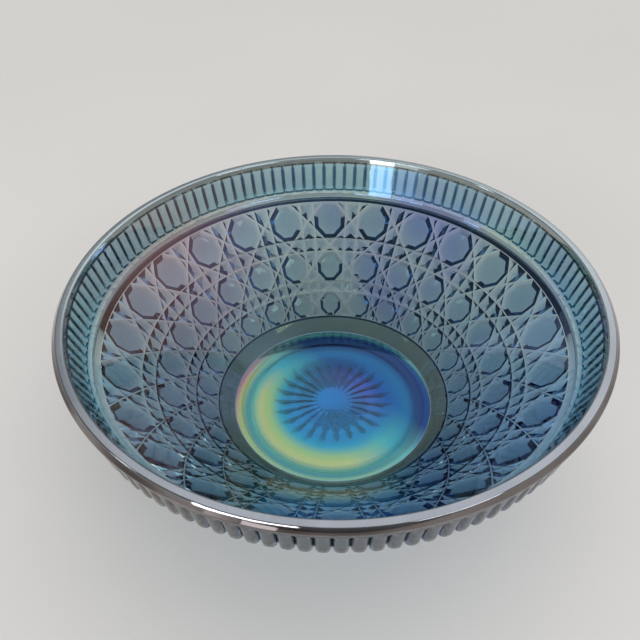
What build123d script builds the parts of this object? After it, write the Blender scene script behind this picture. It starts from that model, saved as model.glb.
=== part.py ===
from build123d import *
from math import cos, pi, radians, sin, tan
import os

os.makedirs("parts", exist_ok=True)

# A pressed carnival glass bowl. +Z is up, the origin is the centre of the foot's resting face, and
# every size is in millimetres. The bowl is one casting of glass, divided here into the bands that
# its mould presses: each band is a closed ring that meets the next one face to face.

# Driving dimensions
height = 88.0  # foot to rim
rim_radius = 129.0
columns = 24  # button columns round the bowl
ribs = 5 * columns  # upright ribs round the collar
wall = 5.0  # glass between the inside and the button tops

# The patterned wall is a 45 degree cone. A place on it is given by the radius of the uncut outer
# surface and by the depth into the glass, square to that surface.
wall_angle = radians(45)
wall_foot_radius = 55.5  # where the uncut outer cone would reach the height of the foot
inner_foot_radius = wall_foot_radius - wall / cos(wall_angle)  # the same for the inner cone

# The pattern is one square tile, repeated round each row and scaled from row to row.
middle_row_radius = 87.0
row_ratio = 1.236  # radius of each row over that of the row below
button_reach = 0.36  # from a button's centre to the cut that bounds it, in tiles
cane_reach = 0.14  # half the width of a cane strip, in tiles

# The cuts have sloping sides, and every raised shape is rooted a little below the bottom of the
# cuts, so that it joins the wall without a gap. Bevels are in degrees from upright.
groove_depth = 1.8  # depth of the cuts that part the buttons
groove_half_width = 0.4
button_root = 0.5
button_bevel = 50.0
cane_root = 0.3
cane_bevel = 62.0
cane_height = 1.1

# Collar and rim. The ribs stand on a nearly upright outside, and the inside leans out more.
collar_top = 84.5
collar_bottom = 66.0
collar_radius = 122.0  # bottom of the collar between its ribs
collar_lean = 0.20  # of the outside, as radius over height
inner_collar_radius = 115.1
inner_collar_lean = 0.40
collar_foot_level = 68.0  # where the inside of the collar meets the bend below it
rib_width = 6.1
rib_height = 2.7
rib_root = 0.3
rib_bevel = 35.0
rim_width = 5.1
rim_underside = 0.8  # how far the lip's underside rises to its edge
rim_under_fillet = 0.9
rim_fillet = 1.6

# Line between the collar and the patterned wall
ledge_drop = 1.5  # height of the ledge under the ribs
ledge_radius = 118.8
bead_radius = 1.1
bead_reach = 1.9  # from the top row's upper cut
bead_sink = 0.6

# Base
floor_height = 6.0
base_height = 2.0  # underside of the base above the table
floor_radius = 54.0
foot_inner = 44.0
foot_outer = 51.0
foot_fillet = 0.8
heel_fillet = 2.0
heel_step = 0.9  # width of the slope from the lowest cut to the smooth heel
star_radius = 29.0
star_shoulder = 23.2  # radius at which the rays are widest
star_half_width = 2.0
star_hub = 7.4
star_depth = 0.6
star_turn = 4.4  # degrees from the button columns


def on_wall(radius, depth):
    """Radius and height of a place on the patterned wall, depth millimetres under its surface."""
    return (
        radius - depth * sin(wall_angle),
        (radius - wall_foot_radius) * tan(wall_angle) + depth * cos(wall_angle),
    )


def outside_collar(level, depth=0.0):
    """Radius and height between the ribs, depth being measured level."""
    return (collar_radius + (level - collar_bottom) * collar_lean - depth, level)


def inside_collar(level):
    return (inner_collar_radius + (level - collar_bottom) * inner_collar_lean, level)


def row_radius(rows_up, tiles_up=0.0):
    """Radius at a place counted from the middle row of buttons."""
    return middle_row_radius * row_ratio ** (rows_up + tiles_up)


def tile(radius):
    """Width of one tile of the pattern at a radius."""
    return 2 * pi * radius / columns


def band(top, bottom):
    """Corners of a ring of wall between two radii, down to the bottom of its cuts."""
    return [
        on_wall(top, groove_depth),
        on_wall(bottom, groove_depth),
        on_wall(bottom, wall),
        on_wall(top, wall),
    ]


def wall_planes(radius, depth, turn=0.0):
    """One plane for each column, on the wall at a depth, facing out and with x round the bowl."""
    level_radius, level = on_wall(radius, depth)
    planes = []
    for column in range(columns):
        angle = 2 * pi * (column + turn) / columns
        out = Vector(cos(angle), sin(angle), 0)
        planes.append(
            Plane(
                origin=out * level_radius + Vector(0, 0, level),
                x_dir=(-sin(angle), cos(angle), 0),
                z_dir=out * sin(wall_angle) - Vector(0, 0, cos(wall_angle)),
            )
        )
    return planes


upper_top = row_radius(1, button_reach)
upper_bottom = row_radius(1, -button_reach)
middle_top = row_radius(0, button_reach)
middle_bottom = row_radius(0, -button_reach)
lower_top = row_radius(-1, button_reach)
lower_bottom = row_radius(-1, -button_reach)


def button_radius(rows_up):
    """Corner radius of a button's foot, rooted below the bottom of the cuts."""
    flat = tile(row_radius(rows_up)) * button_reach - groove_half_width
    return (flat + button_root * tan(radians(button_bevel))) / cos(pi / 8)


def cane_radius(rows_up):
    """Corner radius of the foot of a small pyramid where two cane strips cross."""
    flat = tile(row_radius(rows_up)) * cane_reach - groove_half_width
    return (flat + cane_root * tan(radians(cane_bevel))) / cos(pi / 4)


# Rounded lip at the top of the bowl
with BuildPart() as rim_lip:
    with BuildSketch(Plane.XZ) as lip_section:
        with BuildLine():
            Polyline(
                outside_collar(collar_top),
                (rim_radius, collar_top + rim_underside),
                (rim_radius, height),
                (rim_radius - rim_width, height),
                inside_collar(collar_top),
                close=True,
            )
        make_face()
        fillet(lip_section.vertices().group_by(Axis.X)[-1].sort_by(Axis.Y)[:1], rim_under_fillet)
        fillet(lip_section.vertices().group_by(Axis.Y)[-1], rim_fillet)
    revolve(axis=Axis.Z)
rim_lip.part.label = "rim_lip"

# Collar with upright ribs that taper at both ends
with BuildPart() as fluted_collar:
    with BuildSketch(Plane.XZ):
        with BuildLine():
            Polyline(
                outside_collar(collar_top),
                inside_collar(collar_top),
                inside_collar(collar_foot_level),
                outside_collar(collar_bottom),
                close=True,
            )
        make_face()
    revolve(axis=Axis.Z)

    rib_planes = []
    for rib in range(ribs):
        turn = 2 * pi * rib / ribs
        away = Vector(cos(turn), sin(turn), 0)
        middle_radius, middle_level = outside_collar((collar_top + collar_bottom) / 2, rib_root)
        rib_planes.append(
            Plane(
                origin=away * middle_radius + Vector(0, 0, middle_level),
                x_dir=(-sin(turn), cos(turn), 0),
                z_dir=away - Vector(0, 0, collar_lean),
            )
        )
    half_width = rib_width / 2
    half_run = (collar_top - collar_bottom) / 2 * (1 + collar_lean**2) ** 0.5 - rib_root
    with BuildSketch(*rib_planes):
        Polygon(
            (half_width, half_run - half_width),
            (half_width / 2, half_run),
            (-half_width / 2, half_run),
            (-half_width, half_run - half_width),
            (-half_width, half_width - half_run),
            (-half_width / 2, -half_run),
            (half_width / 2, -half_run),
            (half_width, half_width - half_run),
            align=None,
        )
    extrude(amount=rib_height + rib_root, taper=rib_bevel)
fluted_collar.part.label = "fluted_collar"

# Smooth bend between the collar and the patterned wall, with a ledge and a raised line outside
with BuildPart() as divider_ring:
    bead_centre = on_wall(upper_top + bead_reach, bead_sink)
    bend_level = (
        inner_collar_radius - inner_collar_lean * collar_bottom - inner_foot_radius
    ) / (1 - inner_collar_lean)
    with BuildSketch(Plane.XZ):
        with BuildLine():
            Polyline(
                outside_collar(collar_bottom),
                (ledge_radius, collar_bottom - ledge_drop),
                bead_centre,
                on_wall(upper_top, groove_depth),
                on_wall(upper_top, wall),
                (inner_foot_radius + bend_level, bend_level),
                inside_collar(collar_foot_level),
                close=True,
            )
        make_face()
        with Locations(bead_centre):
            Circle(bead_radius)
    revolve(axis=Axis.Z)
divider_ring.part.label = "divider_ring"

# Rows of eight-sided buttons
with BuildPart() as upper_button_row:
    with BuildSketch(Plane.XZ):
        with BuildLine():
            Polyline(*band(upper_top, upper_bottom), close=True)
        make_face()
    revolve(axis=Axis.Z)
    with BuildSketch(*wall_planes(row_radius(1), groove_depth + button_root)):
        RegularPolygon(button_radius(1), 8, rotation=22.5)
    extrude(amount=groove_depth + button_root, taper=button_bevel)
upper_button_row.part.label = "upper_button_row"

with BuildPart() as middle_button_row:
    with BuildSketch(Plane.XZ):
        with BuildLine():
            Polyline(*band(middle_top, middle_bottom), close=True)
        make_face()
    revolve(axis=Axis.Z)
    with BuildSketch(*wall_planes(row_radius(0), groove_depth + button_root)):
        RegularPolygon(button_radius(0), 8, rotation=22.5)
    extrude(amount=groove_depth + button_root, taper=button_bevel)
middle_button_row.part.label = "middle_button_row"

with BuildPart() as lower_button_row:
    with BuildSketch(Plane.XZ):
        with BuildLine():
            Polyline(*band(lower_top, lower_bottom), close=True)
        make_face()
    revolve(axis=Axis.Z)
    with BuildSketch(*wall_planes(row_radius(-1), groove_depth + button_root)):
        RegularPolygon(button_radius(-1), 8, rotation=22.5)
    extrude(amount=groove_depth + button_root, taper=button_bevel)
lower_button_row.part.label = "lower_button_row"

# Strips of cane work between the rows, with a small pyramid at each crossing
with BuildPart() as upper_cane_strip:
    with BuildSketch(Plane.XZ):
        with BuildLine():
            Polyline(*band(upper_bottom, middle_top), close=True)
        make_face()
    revolve(axis=Axis.Z)
    with BuildSketch(*wall_planes(row_radius(0.5), groove_depth + cane_root, turn=0.5)):
        RegularPolygon(cane_radius(0.5), 4, rotation=45)
    extrude(amount=cane_height + cane_root, taper=cane_bevel)
upper_cane_strip.part.label = "upper_cane_strip"

with BuildPart() as lower_cane_strip:
    with BuildSketch(Plane.XZ):
        with BuildLine():
            Polyline(*band(middle_bottom, lower_top), close=True)
        make_face()
    revolve(axis=Axis.Z)
    with BuildSketch(*wall_planes(row_radius(-0.5), groove_depth + cane_root, turn=0.5)):
        RegularPolygon(cane_radius(-0.5), 4, rotation=45)
    extrude(amount=cane_height + cane_root, taper=cane_bevel)
lower_cane_strip.part.label = "lower_cane_strip"

# Smooth turn from the patterned wall into the base
with BuildPart() as heel_ring:
    with BuildSketch(Plane.XZ) as heel_section:
        with BuildLine():
            Polyline(
                on_wall(lower_bottom, wall),
                on_wall(lower_bottom, groove_depth),
                on_wall(lower_bottom - heel_step, 0.0),
                (wall_foot_radius + base_height, base_height),
                (floor_radius, base_height),
                (floor_radius, floor_height),
                (inner_foot_radius + floor_height, floor_height),
                close=True,
            )
        make_face()
        heel_corner = heel_section.vertices().group_by(Axis.Y)[0].sort_by(Axis.X)[-1:]
        fillet(heel_corner, heel_fillet)
    revolve(axis=Axis.Z)
heel_ring.part.label = "heel_ring"

# Flat base, with a many-rayed star pressed into its underside
with BuildPart() as star_base:
    with BuildSketch(Plane.XY.offset(base_height)):
        Circle(floor_radius)
    extrude(amount=floor_height - base_height)
    with BuildSketch(Plane.XY.offset(base_height)):
        with PolarLocations(0, columns, start_angle=star_turn):
            Polygon(
                (star_hub, 0),
                (star_shoulder, star_half_width),
                (star_radius, 0),
                (star_shoulder, -star_half_width),
                align=None,
            )
    extrude(amount=star_depth, mode=Mode.SUBTRACT)
star_base.part.label = "star_base"

# Ring that the bowl stands on
with BuildPart() as foot_ring:
    with BuildSketch(Plane.XY):
        Circle(foot_outer)
        Circle(foot_inner, mode=Mode.SUBTRACT)
    extrude(amount=base_height)
    fillet(foot_ring.edges().group_by(Axis.Z)[0], foot_fillet)
foot_ring.part.label = "foot_ring"

for piece in (
    rim_lip,
    fluted_collar,
    divider_ring,
    upper_button_row,
    upper_cane_strip,
    middle_button_row,
    lower_cane_strip,
    lower_button_row,
    heel_ring,
    star_base,
    foot_ring,
):
    export_step(piece.part, f"parts/{piece.part.label}.step")
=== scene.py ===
from math import atan2, ceil, cos, hypot, log, pi, radians, sin, sqrt, tan

import bmesh
import bpy
from mathutils import Matrix, Vector


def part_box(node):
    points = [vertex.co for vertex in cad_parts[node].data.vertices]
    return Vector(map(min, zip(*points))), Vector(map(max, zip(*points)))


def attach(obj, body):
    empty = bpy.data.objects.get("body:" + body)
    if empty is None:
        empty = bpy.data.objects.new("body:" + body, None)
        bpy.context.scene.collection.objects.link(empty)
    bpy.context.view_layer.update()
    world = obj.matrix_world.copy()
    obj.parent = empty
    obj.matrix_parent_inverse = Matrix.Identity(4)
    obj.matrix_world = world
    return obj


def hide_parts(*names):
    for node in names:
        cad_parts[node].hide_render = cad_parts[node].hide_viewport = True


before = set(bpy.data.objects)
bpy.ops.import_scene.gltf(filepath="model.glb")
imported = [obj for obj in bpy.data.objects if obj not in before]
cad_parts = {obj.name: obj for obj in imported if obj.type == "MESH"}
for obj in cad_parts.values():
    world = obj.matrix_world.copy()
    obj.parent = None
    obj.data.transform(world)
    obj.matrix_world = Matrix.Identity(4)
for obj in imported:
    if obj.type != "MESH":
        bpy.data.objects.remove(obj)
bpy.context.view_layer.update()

# The bowl is one casting of glass, made here band by band as in the frame. Every band is a closed
# mesh. Where two bands meet, both have the same ring of faces, and those faces are clear, so that
# light runs on from band to band as it does in one casting.

# ---- Sizes, in millimetres ----------------------------------------------------------------------

MM = 0.001


def span(node):
    """Outer radius, lowest level and highest level of a CAD node."""
    low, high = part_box(node)
    return max(high[0], high[1]) / MM, low[2] / MM, high[2] / MM


rim_radius, collar_top, height = span("rim_lip")
collar_bottom = span("fluted_collar")[1]
floor_radius, base_level, floor_level = span("star_base")
foot_outer, foot_level, _ = span("foot_ring")

# The patterned wall is a 45 degree cone, made of rows of one square tile that grows with the bowl.
COLUMNS = 24
RIBS = 5 * COLUMNS
WALL = 5.0
WALL_ANGLE = radians(45)
WALL_FOOT = 55.5  # radius at which the uncut outer cone would reach the ground
MIDDLE_ROW = 87.0
ROW_RATIO = 1.236
INNER_FOOT = WALL_FOOT - WALL / cos(WALL_ANGLE)  # the same for the inner cone
ROW_HEIGHT = log(ROW_RATIO) * COLUMNS / (2 * pi) / cos(WALL_ANGLE)  # of a tile, in tile widths
BUTTON_REACH = 0.36  # from a button's centre to the cut that bounds it, in tiles
CROSS_REACH = 0.5 - BUTTON_REACH
CUT_DEPTH = 0.085  # in tile widths, like the sizes below
CUT_FLAT = 0.012
BUTTON_BEVEL = 0.098
CANE_SLOPE = 0.72
BUTTON_CROWN = 0.020
SIDE_STEP = 0.08  # longest stretch of a facet's side between two corners
CROWN_RINGS = 4

COLLAR_RADIUS = 122.0  # between the ribs, at the bottom of the collar
COLLAR_LEAN = 0.20
COLLAR_SLANT = sqrt(1 + COLLAR_LEAN**2)
INNER_COLLAR_RADIUS = 115.1
INNER_COLLAR_LEAN = 0.40
COLLAR_FOOT = 2.0  # from the bottom of the collar up to the bend inside it

RIB_START = 0.2  # from the bottom of the collar up to a rib's foot
RIB_HEIGHT = 2.7
RIB_END = 1.5  # length of the round foot of a rib
RIB_SHOULDER = 0.75  # share of a rib's half width that falls away into the groove beside it
RIB_CROWN = 0.12
RIB_STEPS = 14  # faces across a rib
GROOVE_SHADE_HEIGHT = 1.1  # painted shade, a dark lustre, lies in the grooves up to this height over the collar
GROOVE_TAPER = 3.2  # length over which a groove runs out to a point under the lip
GROOVE_STOP = 0.9  # from the point of a groove up to the lip

RIM_WIDTH = 5.1
RIM_BEVEL = 1.9  # width of the bevel outside the top of the lip
RIM_BEVEL_DROP = 2.1
RIM_FOOT = 0.6  # height over which the lip widens out of the ribs

STEP_TOP_RADIUS, STEP_TOP_DROP = 120.5, 0.9  # step under the ribs, and its drop from them
STEP_FOOT_RADIUS, STEP_FOOT_DROP = 118.8, 1.5
BEAD_HEIGHT = 0.6  # of the bead between that step and the dividing line
BEAD_TOP, BEAD_FOOT = 3.0, 2.4  # from the topmost cut, in radius
BEND_FILLET = 4.4

FOOT_INNER = 44.0
STAR_RAYS = 24
STAR_RADIUS = 29.0
STAR_HUB = 7.4
STAR_TOUCH = 0.76 * STAR_RADIUS  # the rays touch each other out to here
STAR_FIELD = 36.0  # flat round the star
STAR_TURN = radians(4.4)
STAR_SLOPE = 0.35
RAY_STATIONS = [  # radius, and share of a ray's full width
    (STAR_HUB, 1.0),
    (12.0, 1.0),
    (17.0, 1.0),
    (STAR_TOUCH, 1.0),
    (24.2, 0.83),
    (26.2, 0.57),
    (27.8, 0.27),
    (STAR_RADIUS, 0.0),
]
RAY_TIP = RAY_STATIONS[3:]


def tile(radius):
    return 2 * pi * radius / COLUMNS


def row_radius(rows_up):
    return MIDDLE_ROW * ROW_RATIO**rows_up


def on_wall(radius, depth):
    """Radius and level of a place on the patterned wall, depth millimetres into the glass."""
    return (
        radius - depth * sin(WALL_ANGLE),
        (radius - WALL_FOOT) * tan(WALL_ANGLE) + depth * cos(WALL_ANGLE),
    )


def outside_collar(level):
    return (COLLAR_RADIUS + (level - collar_bottom) * COLLAR_LEAN, level)


def inside_collar(level):
    return (INNER_COLLAR_RADIUS + (level - collar_bottom) * INNER_COLLAR_LEAN, level)


def around(radius, level, angle):
    return (radius * cos(angle), radius * sin(angle), level)


# ---- Meshes -------------------------------------------------------------------------------------

# The fourth kind marks faces with the lustre film on the base's top, and faces painted dark with
# shade deep in the collar's grooves.
SMOOTH, FLAT, SEAM, LUSTRE_AND_SHADE = range(4)
PLACES = 2000  # to a millimetre; corners that fall in the same place are one


class Band:
    """Faces of one piece, gathered by place so that neighbours share their corners."""

    def __init__(self):
        self.index = {}
        self.points = []
        self.faces = []
        self.kinds = []

    def corner(self, point):
        key = tuple(round(c * PLACES) for c in point)
        if key not in self.index:
            self.index[key] = len(self.points)
            self.points.append(point)
        return self.index[key]

    def add(self, points, kind):
        ring = []
        for point in points:
            corner = self.corner(point)
            if not ring or ring[-1] != corner:
                ring.append(corner)
        while len(ring) > 1 and ring[0] == ring[-1]:
            ring.pop()
        if len(set(ring)) >= 3 and len(set(ring)) == len(ring):
            self.faces.append(ring)
            self.kinds.append(kind)

    def sheet(self, rows, kind):
        """Faces between rows of points that all have the same count and go round the bowl."""
        for low, high in zip(rows, rows[1:]):
            for i in range(len(low)):
                j = (i + 1) % len(low)
                self.add([low[i], low[j], high[j], high[i]], kind)

    def bridge(self, low, high, kind):
        """Triangles between two closed rings with different counts, matched by angle."""
        turn = 2 * pi

        def angle(ring, i):
            whole, part = divmod(i, len(ring))
            return atan2(ring[part][1], ring[part][0]) % turn + whole * turn

        low = sorted(low, key=lambda p: atan2(p[1], p[0]) % turn)
        high = sorted(high, key=lambda p: atan2(p[1], p[0]) % turn)
        i = j = 0
        while i < len(low) or j < len(high):
            a, b = low[i % len(low)], high[j % len(high)]
            step_low = j >= len(high) or (
                i < len(low) and angle(low, i + 1) <= angle(high, j + 1)
            )
            if step_low:
                self.add([a, low[(i + 1) % len(low)], b], kind)
                i += 1
            else:
                self.add([a, high[(j + 1) % len(high)], b], kind)
                j += 1

    def build(self, name, material):
        mesh = bpy.data.meshes.new(name)
        mesh.from_pydata([Vector(p) * MM for p in self.points], [], self.faces)
        seam = mesh.attributes.new("seam", "FLOAT", "FACE")
        # This mark gives the lustre film on the base's top, and painted shade in the collar's
        # grooves.
        lustre_and_shade = mesh.attributes.new("lustre_and_shade", "FLOAT", "FACE")
        for polygon, kind in zip(mesh.polygons, self.kinds):
            polygon.use_smooth = kind in (SMOOTH, LUSTRE_AND_SHADE)
            seam.data[polygon.index].value = kind == SEAM
            lustre_and_shade.data[polygon.index].value = kind == LUSTRE_AND_SHADE
        mesh.materials.append(material)
        piece = bpy.data.objects.new(name, mesh)
        bpy.context.scene.collection.objects.link(piece)
        turn_outwards(mesh)
        mesh.set_sharp_from_angle(angle=radians(32))
        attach(piece, "root")
        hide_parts(name)


def turn_outwards(mesh):
    """Turn every face outwards, and split many-sided faces into triangles."""
    work = bmesh.new()
    work.from_mesh(mesh)
    bmesh.ops.recalc_face_normals(work, faces=work.faces)
    wide = [face for face in work.faces if len(face.verts) > 4]
    bmesh.ops.triangulate(work, faces=wide)
    work.to_mesh(mesh)
    work.free()


def rounded(corners, step=radians(7)):
    """An outline through corners of (radius, level, fillet), with the fillets as arcs."""
    outline = []
    for k, (x, y, fillet) in enumerate(corners):
        here = Vector((x, y))
        if fillet <= 0 or k in (0, len(corners) - 1):
            outline.append((x, y))
            continue
        back = (Vector(corners[k - 1][:2]) - here).normalized()
        ahead = (Vector(corners[k + 1][:2]) - here).normalized()
        half = back.angle(ahead) / 2
        middle = here + (back + ahead).normalized() * fillet / sin(half)
        start = here + back * fillet / tan(half)
        first = start - middle
        sweep = pi - 2 * half
        if first.x * ahead.y - first.y * ahead.x < 0:
            sweep = -sweep
        steps = max(2, round(abs(sweep) / step))
        for s in range(steps + 1):
            spoke = first.copy()
            spoke.rotate(Matrix.Rotation(sweep * s / steps, 2))
            outline.append(tuple(middle + spoke))
    return outline


def turned(outline, angles):
    """Rows of points, one row for each point of an outline."""
    return [[around(radius, level, angle) for angle in angles] for radius, level in outline]


# ---- The tile: a button, and cane work cut by crossing lines -----------------------------------


def clip(polygon, nx, ny, offset):
    """The part of a polygon of (x, y) where nx x + ny y <= offset."""
    kept = []
    for k, (x1, y1) in enumerate(polygon):
        x0, y0 = polygon[k - 1]
        d0, d1 = nx * x0 + ny * y0 - offset, nx * x1 + ny * y1 - offset
        if (d0 < -1e-9 and d1 > 1e-9) or (d0 > 1e-9 and d1 < -1e-9):
            t = d0 / (d0 - d1)
            kept.append((x0 + (x1 - x0) * t, y0 + (y1 - y0) * t))
        if d1 <= 1e-9:
            kept.append((x1, y1))
    return kept


def cut_cell(cell, slope, limit):
    """Facets of one cell between cuts: a flat at the foot of each cut, a slope, and a top.

    cell goes round counter-clockwise in tile widths. Each facet is a list of (x, y, depth), with
    whether it is the cell's flat top. The slope stops where it is limit wide.
    """
    sides = []
    for k, (x1, y1) in enumerate(cell):
        x0, y0 = cell[k - 1]
        length = hypot(x1 - x0, y1 - y0)
        nx, ny = -(y1 - y0) / length, (x1 - x0) / length
        sides.append((nx, ny, nx * x0 + ny * y0))
    facets = []
    for k, (nx, ny, offset) in enumerate(sides):
        near = cell
        for m, (ox, oy, other) in enumerate(sides):
            if m != k:
                near = clip(near, nx - ox, ny - oy, offset - other)
        foot = clip(near, nx, ny, offset + CUT_FLAT)
        side = clip(clip(near, -nx, -ny, -offset - CUT_FLAT), nx, ny, offset + CUT_FLAT + limit)
        for part in (foot, side):
            facet = []
            for x, y in part:
                rise = max(0.0, nx * x + ny * y - offset - CUT_FLAT) * slope
                facet.append((x, y, CUT_DEPTH - rise))
            facets.append((facet, False))
    top = cell
    for nx, ny, offset in sides:
        top = clip(top, -nx, -ny, -offset - CUT_FLAT - limit)
    if len(top) >= 3:
        facets.append(([(x, y, CUT_DEPTH - limit * slope) for x, y in top], True))
    return [(facet, is_top) for facet, is_top in facets if len(facet) >= 3]


def stretch(cell):
    """Tile coordinates, counted in tiles, to tile widths."""
    return [(x, y * ROW_HEIGHT) for x, y in cell]


R, C = BUTTON_REACH, CROSS_REACH
octagon = [(R, -C), (R, C), (C, R), (-C, R), (-R, C), (-R, -C), (-C, -R), (C, -R)]
row_cells = [[(sx * R, sy * C), (sx * R, sy * R), (sx * C, sy * R)]
             for sx in (1, -1) for sy in (1, -1)]
row_cells += [
    [(R, -C), (0.5, 0), (R, C)],
    [(1 - R, C), (0.5, 0), (1 - R, -C)],
    [(R, C), (0.5, 0), (1 - R, C), (1 - R, R), (R, R)],
    [(1 - R, -C), (0.5, 0), (R, -C), (R, -R), (1 - R, -R)],
]
cane_cells = [
    [(-C, R), (C, R), (0, 0.5)],
    [(C, 1 - R), (-C, 1 - R), (0, 0.5)],
    [(-R, R), (-C, R), (0, 0.5), (-C, 1 - R), (-R, 1 - R)],
    [(C, R), (R, R), (R, 1 - R), (C, 1 - R), (0, 0.5)],
    [(R, R), (1 - R, R), (1 - R, 1 - R), (R, 1 - R)],
]


def area(cell):
    """Twice a cell's area, below 0 if it goes round clockwise."""
    return sum(
        cell[k - 1][0] * cell[k][1] - cell[k][0] * cell[k - 1][1] for k in range(len(cell))
    )


def facets_of(cells, button):
    """All facets of one tile of a row or of a cane strip."""
    facets = []
    if button:
        facets += cut_cell(stretch(button), CUT_DEPTH / BUTTON_BEVEL, BUTTON_BEVEL)
    for cell in cells:
        if area(cell) < 0:
            cell = cell[::-1]
        for facet, _ in cut_cell(stretch(cell), CANE_SLOPE, CUT_DEPTH / CANE_SLOPE):
            facets.append((facet, False))
    return facets


def densified(facet):
    """The same facet with its long sides divided, the same way whichever way they run."""
    fine = []
    for k, (x1, y1, d1) in enumerate(facet):
        x0, y0, d0 = facet[k - 1]
        parts = max(1, ceil(round(hypot(x1 - x0, y1 - y0) / SIDE_STEP, 3)))
        for s in range(1, parts + 1):
            t = s / parts
            fine.append((x0 + (x1 - x0) * t, y0 + (y1 - y0) * t, d0 + (d1 - d0) * t))
    return fine


def crowned(facet):
    """A button's flat top as rings of faces that rise gently to its middle."""
    cx = sum(x for x, _, _ in facet) / len(facet)
    cy = sum(y for _, y, _ in facet) / len(facet)
    depth = facet[0][2]

    def ring(scale):
        lift = BUTTON_CROWN * (1 - scale * scale)
        return [(cx + (x - cx) * scale, cy + (y - cy) * scale, depth - lift) for x, y, _ in facet]

    faces = []
    for k in range(CROWN_RINGS):
        outer, inner = ring(1 - k / CROWN_RINGS), ring(1 - (k + 1) / CROWN_RINGS)
        for i in range(len(facet)):
            faces.append([outer[i - 1], outer[i], inner[i], inner[i - 1]])
    return faces


def wall_point(x, y, depth, rows_up):
    """A place of a tile, all in tile widths, on the wall."""
    radius = row_radius(rows_up + y / ROW_HEIGHT)
    level_radius, level = on_wall(radius, depth * tile(radius))
    return around(level_radius, level, 2 * pi * x / COLUMNS)


def seam_angles():
    """Angles of the corners along a cut that runs round the bowl."""
    edges = [(-R, -C), (-C, C), (C, R), (R, 1 - R)]
    angles = []
    for column in range(COLUMNS):
        for start, end in edges:
            back_and_there = densified([(start, 0, 0), (end, 0, 0)])
            there = back_and_there[len(back_and_there) // 2:]
            for x, _, _ in there:
                angles.append(2 * pi * (column + x) / COLUMNS)
    return sorted(a % (2 * pi) for a in angles)


ANGLES = seam_angles()


def pattern_band(name, cells, button, rows_up, low, high, material):
    """A band of patterned wall between two cuts that run round the bowl."""
    band = Band()
    facets = facets_of(cells, button)
    for column in range(COLUMNS):
        for facet, is_top in facets:
            fine = densified(facet)
            if is_top:
                for face in crowned(fine):
                    band.add([wall_point(x + column, y, d, rows_up) for x, y, d in face], SMOOTH)
            else:
                band.add([wall_point(x + column, y, d, rows_up) for x, y, d in fine], FLAT)
    for place in (low, high):
        radius = row_radius(place)
        ends = [on_wall(radius, CUT_DEPTH * tile(radius)), on_wall(radius, WALL)]
        band.sheet(turned(ends, ANGLES), SEAM)
    steps = 4
    outline = []
    for s in range(steps + 1):
        radius = row_radius(low) + (row_radius(high) - row_radius(low)) * s / steps
        outline.append(on_wall(radius, WALL))
    band.sheet(turned(outline, ANGLES), SMOOTH)
    band.build(name, material)


# ---- Bands that are turned, and the ribbed collar ------------------------------------------------

SEAM_RING = 2 * RIBS  # corners round the collar's ends
TOP_CUT = row_radius(1 + BUTTON_REACH)
LOW_CUT = row_radius(-1 - BUTTON_REACH)


def rib_rise(foot, groove, across):
    """Height of a rib over the collar.

    foot runs from 1, where the rib's round foot starts, to 0. groove is the depth of the grooves, as
    a share of full depth. across runs from 0, the rib's axis, to 1, its edge.
    """
    shoulder = RIB_SHOULDER * groove
    into = max(0.0, (across - 1 + shoulder) / shoulder) if shoulder > 0 else 0.0
    fall = RIB_CROWN * across**2 + (1 - RIB_CROWN) * (1 - sqrt(max(0.0, 1 - into**2)))
    return RIB_HEIGHT * sqrt(max(0.0, (1 - groove * fall) ** 2 - foot**2))


def rib_stations():
    """Places up the collar, each a level with rib_rise's foot and groove there."""
    low = collar_bottom + RIB_START
    top_of_foot = low + RIB_END
    taper = collar_top - GROOVE_STOP - GROOVE_TAPER
    arc, straight = 8, 3
    stations = [(collar_bottom, 1.0, 1.0)]
    for s in range(arc):
        a = pi / 2 * s / arc
        stations.append((low + RIB_END * (1 - cos(a)), cos(a), 1.0))
    for s in range(straight + 1):
        stations.append((top_of_foot + (taper - top_of_foot) * s / straight, 0.0, 1.0))
    for s in range(1, arc + 1):
        stations.append((taper + GROOVE_TAPER * s / arc, 0.0, 1 - (s / arc) ** 2))
    stations.append((collar_top, 0.0, 0.0))
    return stations


def mark_groove_shade(band):
    """Mark the faces deep in the grooves, above the ribs' feet, for painted dark shade."""
    for number, ring in enumerate(band.faces):
        corners = [band.points[corner] for corner in ring]
        rise = min(hypot(x, y) - outside_collar(z)[0] for x, y, z in corners)
        if rise < GROOVE_SHADE_HEIGHT and min(z for _, _, z in corners) > collar_bottom + RIB_START + 1:
            band.kinds[number] = LUSTRE_AND_SHADE


def ribbed_collar(material):
    """A collar of touching ribs: grooves between them run out to points under the lip."""
    band = Band()
    rows = []
    for level, foot, groove in rib_stations():
        radius = outside_collar(level)[0]
        row = []
        for k in range(RIBS * RIB_STEPS):
            across = sin(pi * ((k % RIB_STEPS) / RIB_STEPS - 0.5))
            rise = rib_rise(foot, groove, abs(across))
            place = (k // RIB_STEPS + across / 2) * 2 * pi / RIBS
            drop = rise * COLLAR_LEAN / COLLAR_SLANT
            row.append(around(radius + rise / COLLAR_SLANT, level - drop, place))
        rows.append(row)
    band.sheet(rows, SMOOTH)
    mark_groove_shade(band)
    foot, head = inside_collar(collar_bottom + COLLAR_FOOT), inside_collar(collar_top)
    inner = turned([foot, *[between(foot, head, s / 5) for s in range(1, 5)], head], ANGLES)
    low_end, high_end = collar_end(collar_bottom, 0.0), collar_end(collar_top, RIB_HEIGHT)
    band.sheet(inner, SMOOTH)
    band.bridge(low_end, inner[0], SEAM)
    band.bridge(high_end, inner[-1], SEAM)
    band.bridge(rows[0], low_end, SMOOTH)
    band.bridge(rows[-1], high_end, SMOOTH)
    band.build("fluted_collar", material)


def between(start, end, share):
    return tuple(a + (b - a) * share for a, b in zip(start, end))


def collar_end(level, rise):
    """Ring of corners where the outside of the collar ends, rise millimetres over its grooves."""
    radius = outside_collar(level)[0] + rise * COLLAR_SLANT
    return [around(radius, level, 2 * pi * k / SEAM_RING) for k in range(SEAM_RING)]


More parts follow.
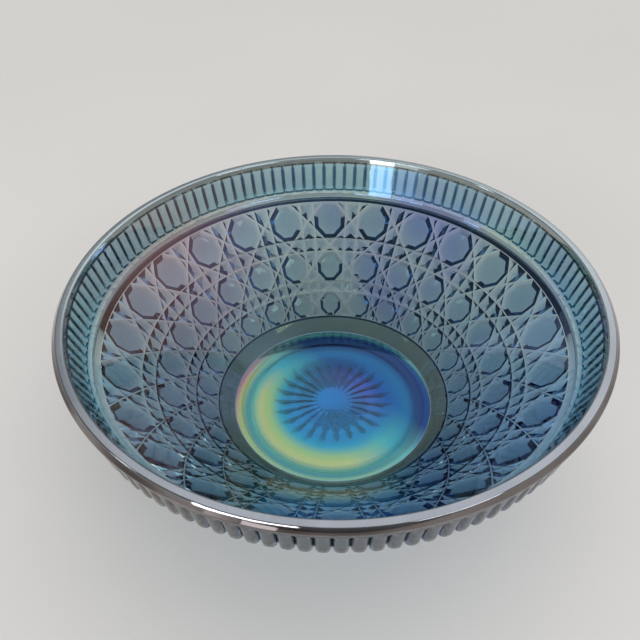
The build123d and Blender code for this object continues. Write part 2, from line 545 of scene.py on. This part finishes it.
def rim_lip(material):
    band = Band()
    outer = collar_end(collar_top, RIB_HEIGHT)
    outline = rounded([
        (outside_collar(collar_top)[0] + RIB_HEIGHT * COLLAR_SLANT, collar_top, 0),
        (rim_radius, collar_top + RIM_FOOT, 0.4),
        (rim_radius, height - RIM_BEVEL_DROP, 0.9),
        (rim_radius - RIM_BEVEL, height, 0.9),
        (rim_radius - RIM_WIDTH, height, 1.2),
        (*inside_collar(collar_top), 0),
    ])
    rows = turned(outline, ANGLES)
    band.bridge(outer, rows[1], SMOOTH)
    band.sheet(rows[1:], SMOOTH)
    band.bridge(outer, rows[-1], SEAM)
    band.build("rim_lip", material)


def divider_ring(material):
    band = Band()
    cut = on_wall(TOP_CUT, CUT_DEPTH * tile(TOP_CUT))
    outline = rounded([
        (*outside_collar(collar_bottom), 0),
        (STEP_TOP_RADIUS, collar_bottom - STEP_TOP_DROP, 0),
        (STEP_FOOT_RADIUS, collar_bottom - STEP_FOOT_DROP, 0.5),
        (*on_wall(TOP_CUT + BEAD_TOP, -BEAD_HEIGHT), 0.5),
        (*on_wall(TOP_CUT + BEAD_FOOT, -BEAD_HEIGHT), 0.4),
        (*cut, 0),
    ])
    outer = turned(outline, ANGLES)
    band.bridge(collar_end(collar_bottom, 0.0), outer[1], SMOOTH)
    band.sheet(outer[1:], SMOOTH)
    # Level where the inside of the wall would meet the inside of the collar.
    bend = (inside_collar(0.0)[0] - INNER_FOOT) / (1 - INNER_COLLAR_LEAN)
    inner = turned(rounded([
        (*on_wall(TOP_CUT, WALL), 0),
        (INNER_FOOT + bend, bend, BEND_FILLET),
        (*inside_collar(collar_bottom + COLLAR_FOOT), 0),
    ], radians(3)), ANGLES)
    band.sheet(inner, SMOOTH)
    band.sheet([outer[-1], inner[0]], SEAM)
    band.bridge(collar_end(collar_bottom, 0.0), inner[-1], SEAM)
    band.build("divider_ring", material)


def heel_ring(material):
    band = Band()
    cut = on_wall(LOW_CUT, CUT_DEPTH * tile(LOW_CUT))
    outer = turned(rounded([
        (*cut, 0),
        (*on_wall(LOW_CUT - 0.9, 0.0), 0.5),
        (WALL_FOOT + base_level, base_level, 2.0),
        (floor_radius, base_level, 0),
    ]), ANGLES)
    floor_edge = INNER_FOOT + floor_level
    inner = turned(rounded([
        (*on_wall(LOW_CUT, WALL), 0),
        (floor_edge, floor_level, 0.8),
        (floor_radius, floor_level, 0),
    ]), ANGLES)
    band.sheet(outer, SMOOTH)
    band.sheet(inner, SMOOTH)
    band.sheet([outer[0], inner[0]], SEAM)
    band.sheet([outer[-1], inner[-1]], SEAM)
    band.build("heel_ring", material)


def half_ray(radius, share):
    """Angle from the middle of a ray to its edge."""
    half = pi / STAR_RAYS
    return share * (STAR_TOUCH * sin(half) / radius if radius > STAR_TOUCH else half)


def underside(radius, angle, depth=0.0):
    return around(radius, base_level + depth, angle)


def ray(band, centre):
    """A hollow ray whose two sides meet in a keel, and the flat between its tip and the field."""
    half = pi / STAR_RAYS
    keel = [underside(STAR_HUB + 1.0, centre, STAR_SLOPE * STAR_HUB * tan(half))]
    for radius, share in RAY_STATIONS[1:]:
        depth = STAR_SLOPE * radius * tan(half_ray(radius, share))
        keel.append(underside(radius, centre, depth))
    for side in (-1, 1):
        bank = [underside(radius, centre + side * half_ray(radius, share))
                for radius, share in RAY_STATIONS]
        for k in range(len(bank) - 1):
            band.add([bank[k], bank[k + 1], keel[k + 1], keel[k]], FLAT)
    band.add([underside(STAR_HUB, centre - half), underside(STAR_HUB, centre + half), keel[0]], FLAT)
    flat = [underside(STAR_FIELD, centre + turn) for turn in (-half, 0, half)]
    flat += [underside(radius, centre + half_ray(radius, share)) for radius, share in RAY_TIP]
    flat += [underside(radius, centre - half_ray(radius, share))
             for radius, share in RAY_TIP[-2::-1]]
    band.add(flat, FLAT)


def star_base(material):
    band = Band()
    top = turned([(radius, floor_level) for radius in (floor_radius, 50, 44, 36, 28, 20, 12, 5)],
                 ANGLES)
    band.sheet(top, LUSTRE_AND_SHADE)
    band.add(top[-1], LUSTRE_AND_SHADE)
    under = turned([(radius, base_level) for radius in (floor_radius, foot_outer)], ANGLES)
    footing = turned([(radius, base_level) for radius in (foot_outer, FOOT_INNER)], ANGLES)
    recess = turned([(radius, base_level) for radius in (FOOT_INNER, 40.0)], ANGLES)
    band.sheet(under, SMOOTH)
    band.sheet(footing, SEAM)
    band.sheet(recess, SMOOTH)
    band.sheet([top[0], under[0]], SEAM)
    centres = [STAR_TURN + 2 * pi * number / STAR_RAYS for number in range(STAR_RAYS)]
    for centre in centres:
        ray(band, centre)
    half = pi / STAR_RAYS
    band.add([underside(STAR_HUB, centre + half) for centre in centres], FLAT)
    ring = [underside(STAR_FIELD, centre + turn) for centre in centres for turn in (-half, 0)]
    band.bridge(ring, recess[-1], SMOOTH)
    band.build("star_base", material)


def foot_ring(material):
    band = Band()
    outline = rounded([
        (foot_outer, base_level, 0),
        (foot_outer, foot_level, 1.2),
        (FOOT_INNER, foot_level, 1.2),
        (FOOT_INNER, base_level, 0),
    ])
    rows = turned(outline, ANGLES)
    band.sheet(rows, SMOOTH)
    band.sheet([rows[0], rows[-1]], SEAM)
    band.build("foot_ring", material)


# ---- Materials ----------------------------------------------------------------------------------


class Nodes:
    """Short names for building a material's node tree."""

    def __init__(self, name):
        self.material = bpy.data.materials.new(name)
        self.material.use_nodes = True
        self.tree = self.material.node_tree
        self.shader = self.tree.nodes["Principled BSDF"]

    def add(self, kind, **settings):
        node = self.tree.nodes.new(kind)
        for key, value in settings.items():
            setattr(node, key, value)
        return node

    def link(self, source, target):
        self.tree.links.new(source, target)

    def give(self, name, given):
        """Set one of the shader's inputs to a number or colour, or link it."""
        socket = self.shader.inputs[name]
        if isinstance(given, (int, float)):
            socket.default_value = given
        elif isinstance(given, tuple):
            socket.default_value = (*given, 1)
        else:
            self.link(given, socket)

    def value(self, operation, a, b=None, c=None):
        node = self.add("ShaderNodeMath", operation=operation)
        for socket, given in zip(node.inputs, (a, b, c)):
            if given is None:
                continue
            if isinstance(given, (int, float)):
                socket.default_value = given
            else:
                self.link(given, socket)
        return node.outputs[0]

    def clamped(self, given, scale, offset):
        """given times scale plus offset, held between 0 and 1."""
        held = self.value("MULTIPLY_ADD", given, scale, offset)
        held.node.use_clamp = True
        return held

    def rise(self, given, start, width):
        """0 as far as start, then rising to 1 over width, both in millimetres."""
        return self.clamped(given, 1 / (width * MM), -start / width)

    def reach(self, x, y):
        """Distance from the middle of the bowl."""
        squares = self.value("ADD", self.value("MULTIPLY", x, x), self.value("MULTIPLY", y, y))
        return self.value("SQRT", squares)

    def ramp(self, factor, stops):
        node = self.add("ShaderNodeValToRGB")
        elements = node.color_ramp.elements
        while len(elements) < len(stops):
            elements.new(0.5)
        for element, (place, colour) in zip(elements, stops):
            element.position = place
            element.color = (*colour, 1)
        self.link(factor, node.inputs[0])
        return node.outputs["Color"]

    def mix(self, factor, a, b):
        node = self.add("ShaderNodeMix", data_type="RGBA")
        for socket, given in ((node.inputs[0], factor), (node.inputs[6], a), (node.inputs[7], b)):
            if isinstance(given, (int, float)):
                socket.default_value = given
            elif isinstance(given, tuple):
                socket.default_value = (*given, 1)
            else:
                self.link(given, socket)
        return node.outputs[2]

    def place(self):
        """Object coordinates, in metres: all together, and as x, y and z."""
        where = self.add("ShaderNodeTexCoord").outputs["Object"]
        split = self.add("ShaderNodeSeparateXYZ")
        self.link(where, split.inputs[0])
        return (where, *split.outputs)

    def noise(self, where, scale, detail=2.0):
        node = self.add("ShaderNodeTexNoise")
        node.inputs["Scale"].default_value = scale
        node.inputs["Detail"].default_value = detail
        self.link(where, node.inputs["Vector"])
        return node.outputs["Fac"]

    def marked(self, attribute):
        """1 on the faces that a mesh marks, and 0 on the others."""
        return self.add("ShaderNodeAttribute", attribute_name=attribute).outputs["Fac"]

    def clear_seams(self):
        """Faces where one band runs on into the next let light pass unchanged."""
        self.give("Alpha", self.value("SUBTRACT", 1.0, self.marked("seam")))

    def absorb(self, colour, density):
        body = self.add("ShaderNodeVolumeAbsorption")
        body.inputs["Color"].default_value = (*colour, 1)
        body.inputs["Density"].default_value = density
        self.link(body.outputs[0], self.tree.nodes["Material Output"].inputs["Volume"])

    def bump(self, factor, strength, distance):
        node = self.add("ShaderNodeBump")
        node.inputs["Strength"].default_value = strength
        node.inputs["Distance"].default_value = distance
        self.link(factor, node.inputs["Height"])
        self.link(node.outputs[0], self.shader.inputs["Normal"])


GLASS_IOR = 1.52
FILM_IOR = 1.9
BLUE_FILM, MAROON_FILM = 170.0, 138.0  # nanometres, each with the colour that it reflects


def lustre(nodes, colour, roughness, film, metal, glare=1.0):
    """Clear glass under a thin metallic film; glare is how strongly the bare glass reflects."""
    nodes.give("Transmission Weight", 1.0)
    nodes.give("IOR", GLASS_IOR)
    nodes.give("Base Color", colour)
    nodes.give("Roughness", roughness)
    nodes.give("Specular Tint", (glare, glare, glare))
    nodes.give("Thin Film Thickness", film)
    nodes.give("Thin Film IOR", FILM_IOR)
    nodes.give("Metallic", metal)


def wall_tint(nodes, x, y, patches):
    """Colour of the clear glass: pink to violet across the back, and blue towards the front."""
    back = nodes.rise(y, -62.5, 125.0)
    across = nodes.value("MULTIPLY", nodes.value("MULTIPLY", x, 2.2), back)
    far = nodes.ramp(nodes.value("MULTIPLY_ADD", patches, 0.7, across), [
        (0.18, (0.99, 0.76, 0.70)),
        (0.28, (0.97, 0.97, 0.84)),
        (0.47, (0.93, 0.97, 0.88)),
        (0.59, (0.72, 0.68, 0.98)),
    ])
    near = nodes.mix(nodes.rise(x, -30.0, 100.0), (0.70, 0.90, 0.95), (0.52, 0.73, 0.94))
    return nodes.mix(back, near, far)


def wall_glass(name, absorbed, density, ripple):
    """Pressed glass with a film that is thinner at the left, where it reflects maroon.

    Painted shade makes the lustre dark in the collar's grooves and greyish brown on the outside of
    its ribs at the front.
    """
    nodes = Nodes(name)
    where, x, y, _ = nodes.place()
    patches = nodes.noise(where, 14.0)
    # This mark puts painted shade, a dark lustre, deep in the collar's grooves.
    grooves = nodes.marked("lustre_and_shade")
    outside = nodes.rise(nodes.reach(x, y), COLLAR_RADIUS + 2.0, 1.5)
    # Painted shade: the outside of the ribs towards the front is turned to a dark grey-brown lustre.
    front_rib_shade = nodes.value("MULTIPLY", outside, nodes.rise(y, -25.0, -83.3))
    colour = nodes.mix(outside, wall_tint(nodes, x, y, patches), (0.88, 0.88, 0.88))
    # Painted shade: grey-brown on the front of the ribs, and dark in the collar's grooves.
    colour = nodes.mix(front_rib_shade, colour, (0.25, 0.225, 0.185))
    colour = nodes.mix(grooves, colour, (0.10, 0.16, 0.20))
    metal = nodes.value("MULTIPLY_ADD", outside, 0.06, 0.04)
    metal = nodes.value("MULTIPLY_ADD", front_rib_shade, 0.40, metal)
    metal = nodes.value("MAXIMUM", metal, nodes.value("MULTIPLY", grooves, 0.45))
    uneven = nodes.value("MULTIPLY_ADD", patches, 1.2, -0.9)
    left = nodes.clamped(x, -14.0, uneven)
    film = nodes.value("MULTIPLY_ADD", left, MAROON_FILM - BLUE_FILM, BLUE_FILM)
    lustre(nodes, colour, 0.02, film, metal, glare=0.8)
    nodes.bump(nodes.noise(where, 60.0), ripple, 0.002)
    nodes.absorb(absorbed, density)
    nodes.clear_seams()
    return nodes.material


def rim_glass():
    """Silvery towards the front, as a painted shaded copy with a painted dark reflection on the
    outer bevel; painted paler at the back, as a lit copy; clear glass below.
    """
    nodes = Nodes("silvery_rim_glass")
    where, x, y, z = nodes.place()
    reach = nodes.reach(x, y)
    bevel = nodes.rise(reach, rim_radius - RIM_BEVEL, 0.8)
    inside = nodes.rise(reach, rim_radius - RIM_WIDTH, -0.5)
    # Painted shade: towards the front the lip is a darker, shaded copy, and its outer bevel carries
    # a painted dark reflection.
    shaded_near_top = nodes.ramp(nodes.noise(where, 30.0), [
        (0.35, (0.34, 0.365, 0.405)),
        (0.65, (0.43, 0.455, 0.495)),
    ])
    painted_dark_bevel = nodes.ramp(nodes.noise(where, 22.0, 1.0), [
        (0.42, (0.15, 0.12, 0.12)),
        (0.58, (0.40, 0.36, 0.36)),
    ])
    near = nodes.mix(inside, nodes.mix(bevel, shaded_near_top, painted_dark_bevel), (0.72, 0.80, 0.80))
    # Painted light: at the back the lip is a lit, paler copy, lighter still at the flanks.
    flank = nodes.clamped(nodes.value("MULTIPLY", x, x), 70.0, 0.0)
    lit_far_top = nodes.mix(flank, (0.36, 0.43, 0.45), (0.54, 0.63, 0.66))
    far = nodes.mix(bevel, lit_far_top, (0.80, 0.74, 0.79))
    silver = nodes.rise(z, height - 2.7, 0.6)
    # Blend the painted lit copy at the back into the painted shaded copy at the front.
    lip = nodes.mix(nodes.rise(y, 14.3, -71.4), far, near)
    colour = nodes.mix(silver, (0.90, 0.98, 0.90), lip)
    lustre(nodes, colour, 0.05, 0.0, nodes.value("MULTIPLY_ADD", silver, 0.62, 0.06))
    nodes.bump(nodes.noise(where, 40.0), 0.05, 0.002)
    nodes.absorb((0.20, 0.52, 0.58), 60.0)
    nodes.clear_seams()
    return nodes.material


def heel_glass():
    nodes = Nodes("olive_heel_glass")
    where = nodes.place()[0]
    colour = nodes.ramp(nodes.noise(where, 20.0), [
        (0.3, (0.36, 0.45, 0.41)),
        (0.7, (0.45, 0.50, 0.43)),
    ])
    lustre(nodes, colour, 0.03, BLUE_FILM, 0.10)
    nodes.absorb((0.3, 0.5, 0.52), 190.0)
    nodes.clear_seams()
    return nodes.material


def base_lustre(nodes, x, y, film):
    """The rainbow on the base, with a ring of painted shade on the far side: its rings differ
    between the near left, the middle and the rest.
    """
    near = nodes.ramp(film, [
        (0.00, (0.05, 0.28, 0.62)),
        (0.40, (0.05, 0.36, 0.60)),
        (0.49, (0.06, 0.50, 0.56)),
        (0.58, (0.55, 0.70, 0.24)),
        (0.67, (0.74, 0.66, 0.24)),
        (0.74, (0.18, 0.58, 0.44)),
        (0.79, (0.08, 0.44, 0.50)),
        (0.84, (0.50, 0.62, 0.22)),
        (0.875, (0.66, 0.50, 0.22)),
        (0.91, (0.72, 0.26, 0.40)),
    ])
    middle = nodes.ramp(film, [
        (0.00, (0.05, 0.28, 0.62)),
        (0.45, (0.05, 0.38, 0.58)),
        (0.60, (0.12, 0.56, 0.46)),
        (0.74, (0.05, 0.42, 0.50)),
        (0.84, (0.22, 0.60, 0.50)),
        (0.92, (0.40, 0.50, 0.46)),
    ])
    # The far ring's dark navy band, at the foot ring's radius, is painted shade.
    far = nodes.ramp(film, [
        (0.00, (0.05, 0.26, 0.60)),
        (0.30, (0.16, 0.14, 0.56)),
        (0.50, (0.01, 0.13, 0.42)),
        (0.68, (0.02, 0.19, 0.38)),
        (0.78, (0.01, 0.06, 0.24)),
        (0.89, (0.01, 0.06, 0.24)),
        (0.93, (0.15, 0.62, 0.55)),
    ])
    nearness = nodes.value("MULTIPLY", nodes.value("ADD", x, y), -1 / 0.0761)
    outer = nodes.mix(nodes.clamped(nearness, 2.4, 0.9), far, middle)
    return nodes.mix(nodes.clamped(nearness, 2.4, -0.1), outer, near)


def base_glass():
    """Blue glass with a rainbow of lustre on its upper face, through which the star shows."""
    nodes = Nodes("iridescent_base_glass")
    where, x, y, _ = nodes.place()
    film = nodes.value("DIVIDE", nodes.reach(x, nodes.value("ADD", y, 4.0 * MM)), 60.0 * MM)
    under = nodes.ramp(nodes.noise(where, 20.0), [
        (0.3, (0.24, 0.64, 0.84)),
        (0.7, (0.30, 0.70, 0.88)),
    ])
    top = nodes.marked("lustre_and_shade")
    colour = nodes.mix(top, under, base_lustre(nodes, x, y, film))
    top_metal = nodes.value("MULTIPLY_ADD", nodes.clamped(film, 4.5, -2.0), 0.18, 0.12)
    under_metal = nodes.value("MULTIPLY_ADD", top, -0.55, 0.55)
    metal = nodes.value("MULTIPLY_ADD", top_metal, top, under_metal)
    lustre(nodes, colour, 0.03, 0.0, metal, glare=0.3)
    nodes.absorb((0.20, 0.55, 0.80), 80.0)
    nodes.clear_seams()
    return nodes.material


def floor_finish():
    """A pale table that gives a little light of its own, which keeps the bowl's shadow faint."""
    nodes = Nodes("pale_table")
    where = nodes.place()[0]
    nodes.give("Base Color", nodes.ramp(nodes.noise(where, 3.0), [
        (0.3, (0.535, 0.52, 0.50)),
        (0.7, (0.56, 0.545, 0.525)),
    ]))
    nodes.give("Roughness", 0.7)
    nodes.give("Emission Color", (1.0, 0.97, 0.91))
    nodes.give("Emission Strength", 0.18)
    return nodes.material


# ---- The bowl -----------------------------------------------------------------------------------

wall = wall_glass("blue_pressed_glass", (0.08, 0.38, 0.56), 245.0, 0.04)

rim_lip(rim_glass())
ribbed_collar(wall_glass("teal_collar_glass", (0.14, 0.54, 0.64), 135.0, 0.09))
divider_ring(wall_glass("grey_bend_glass", (0.24, 0.46, 0.54), 205.0, 0.05))
pattern_band("upper_button_row", row_cells, octagon, 1, 1 - R, 1 + R, wall)
pattern_band("upper_cane_strip", cane_cells, None, 0, R, 1 - R, wall)
pattern_band("middle_button_row", row_cells, octagon, 0, -R, R, wall)
pattern_band("lower_cane_strip", cane_cells, None, -1, R - 1, -R, wall)
pattern_band("lower_button_row", row_cells, octagon, -1, -1 - R, R - 1, wall)
heel_ring(heel_glass())
star_base(base_glass())
foot_ring(wall)


# ---- Table, light and camera --------------------------------------------------------------------


def table():
    """A round table whose far edge rises all round in one smooth sweep."""
    edge, bend, top, turns = 2.4, 0.7, 1.3, 96
    profile = [(0.35 * k, 0.0) for k in range(1, 7)]
    for k in range(13):
        a = radians(90) * k / 12
        profile.append((edge + bend * sin(a), bend - bend * cos(a)))
    profile.append((edge + bend, top))
    points = [(0, 0, 0)]
    for radius, level in profile:
        points += [around(radius, level, 2 * pi * k / turns) for k in range(turns)]
    faces = [(0, 1 + k, 1 + (k + 1) % turns) for k in range(turns)]
    for row in range(len(profile) - 1):
        start = 1 + row * turns
        for k in range(turns):
            j = (k + 1) % turns
            faces.append((start + k, start + turns + k, start + turns + j, start + j))
    mesh = bpy.data.meshes.new("table")
    mesh.from_pydata(points, [], faces)
    for polygon in mesh.polygons:
        polygon.use_smooth = True
    mesh.materials.append(floor_finish())
    table_top = bpy.data.objects.new("table", mesh)
    bpy.context.scene.collection.objects.link(table_top)


def window(name, azimuth, elevation, distance, width, tall, radiance, colour, roll=0.0):
    """A soft rectangular light that faces the bowl; azimuth 0 is towards the camera (-Y)."""
    light = bpy.data.lights.new(name, "AREA")
    light.shape = "RECTANGLE"
    light.size, light.size_y = width, tall
    light.energy = radiance * width * tall * pi
    light.color = colour
    lamp = bpy.data.objects.new(name, light)
    a, e = radians(azimuth), radians(elevation)
    away = Vector((sin(a) * cos(e), -cos(a) * cos(e), sin(e)))
    lamp.location = away * distance + Vector((0, 0, 0.05))
    facing = away.to_track_quat("Z", "Y").to_matrix() @ Matrix.Rotation(radians(roll), 3, "Z")
    lamp.rotation_euler = facing.to_euler()
    lamp.visible_camera = False
    bpy.context.scene.collection.objects.link(lamp)


def studio():
    """A room that is bright overhead and dim low down, with windows on the camera's side."""
    world = bpy.data.worlds.new("soft_room")
    world.use_nodes = True
    tree = world.node_tree
    where = tree.nodes.new("ShaderNodeTexCoord")
    overhead = tree.nodes.new("ShaderNodeVectorMath")
    overhead.operation = "DOT_PRODUCT"
    overhead.inputs[1].default_value = (0.22, 0.31, 0.925)
    shade = tree.nodes.new("ShaderNodeMapRange")
    shade.interpolation_type = "SMOOTHSTEP"
    shade.inputs["From Min"].default_value = 0.55
    shade.inputs["From Max"].default_value = 0.95
    shade.inputs["To Min"].default_value = 0.22
    shade.inputs["To Max"].default_value = 1.40
    background = tree.nodes["Background"]
    background.inputs["Color"].default_value = (0.98, 0.98, 1.0, 1)
    tree.links.new(where.outputs["Generated"], overhead.inputs[0])
    tree.links.new(overhead.outputs["Value"], shade.inputs["Value"])
    tree.links.new(shade.outputs[0], background.inputs["Strength"])
    bpy.context.scene.world = world
    window("window_left", -24, 13, 2.2, 0.42, 0.75, 4.2, (0.90, 0.97, 1.0))
    window("window_next", -36, 13, 2.2, 0.40, 0.75, 0.8, (0.90, 0.97, 1.0))
    window("window_right", 42, 34, 2.4, 1.1, 0.45, 6.0, (0.95, 0.97, 1.0))
    window("window_high", -30, 26, 2.3, 1.3, 0.20, 12.0, (0.95, 0.96, 1.0), 11.0)
    window("window_side", -75, 25, 2.4, 0.3, 0.6, 5.0, (0.95, 0.97, 1.0))


EYE = (-6.66, -239.76, height + 194.72)  # millimetres
EYE_DIP, EYE_TURN = 0.7367, -0.0104  # radians


def camera():
    """The photo's camera, as fitted to the rim, the dividing line and the rings of the base."""
    lens = bpy.data.cameras.new("camera")
    lens.sensor_width = 36.0
    lens.lens = 36.56
    eye = bpy.data.objects.new("camera", lens)
    turn = Matrix.Rotation(radians(90) - EYE_DIP, 4, "X") @ Matrix.Rotation(EYE_TURN, 4, "Z")
    eye.matrix_world = Matrix.Translation([c * MM for c in EYE]) @ turn
    bpy.context.scene.collection.objects.link(eye)
    bpy.context.scene.camera = eye


table()
studio()
camera()
bpy.context.scene.view_settings.view_transform = "Standard"
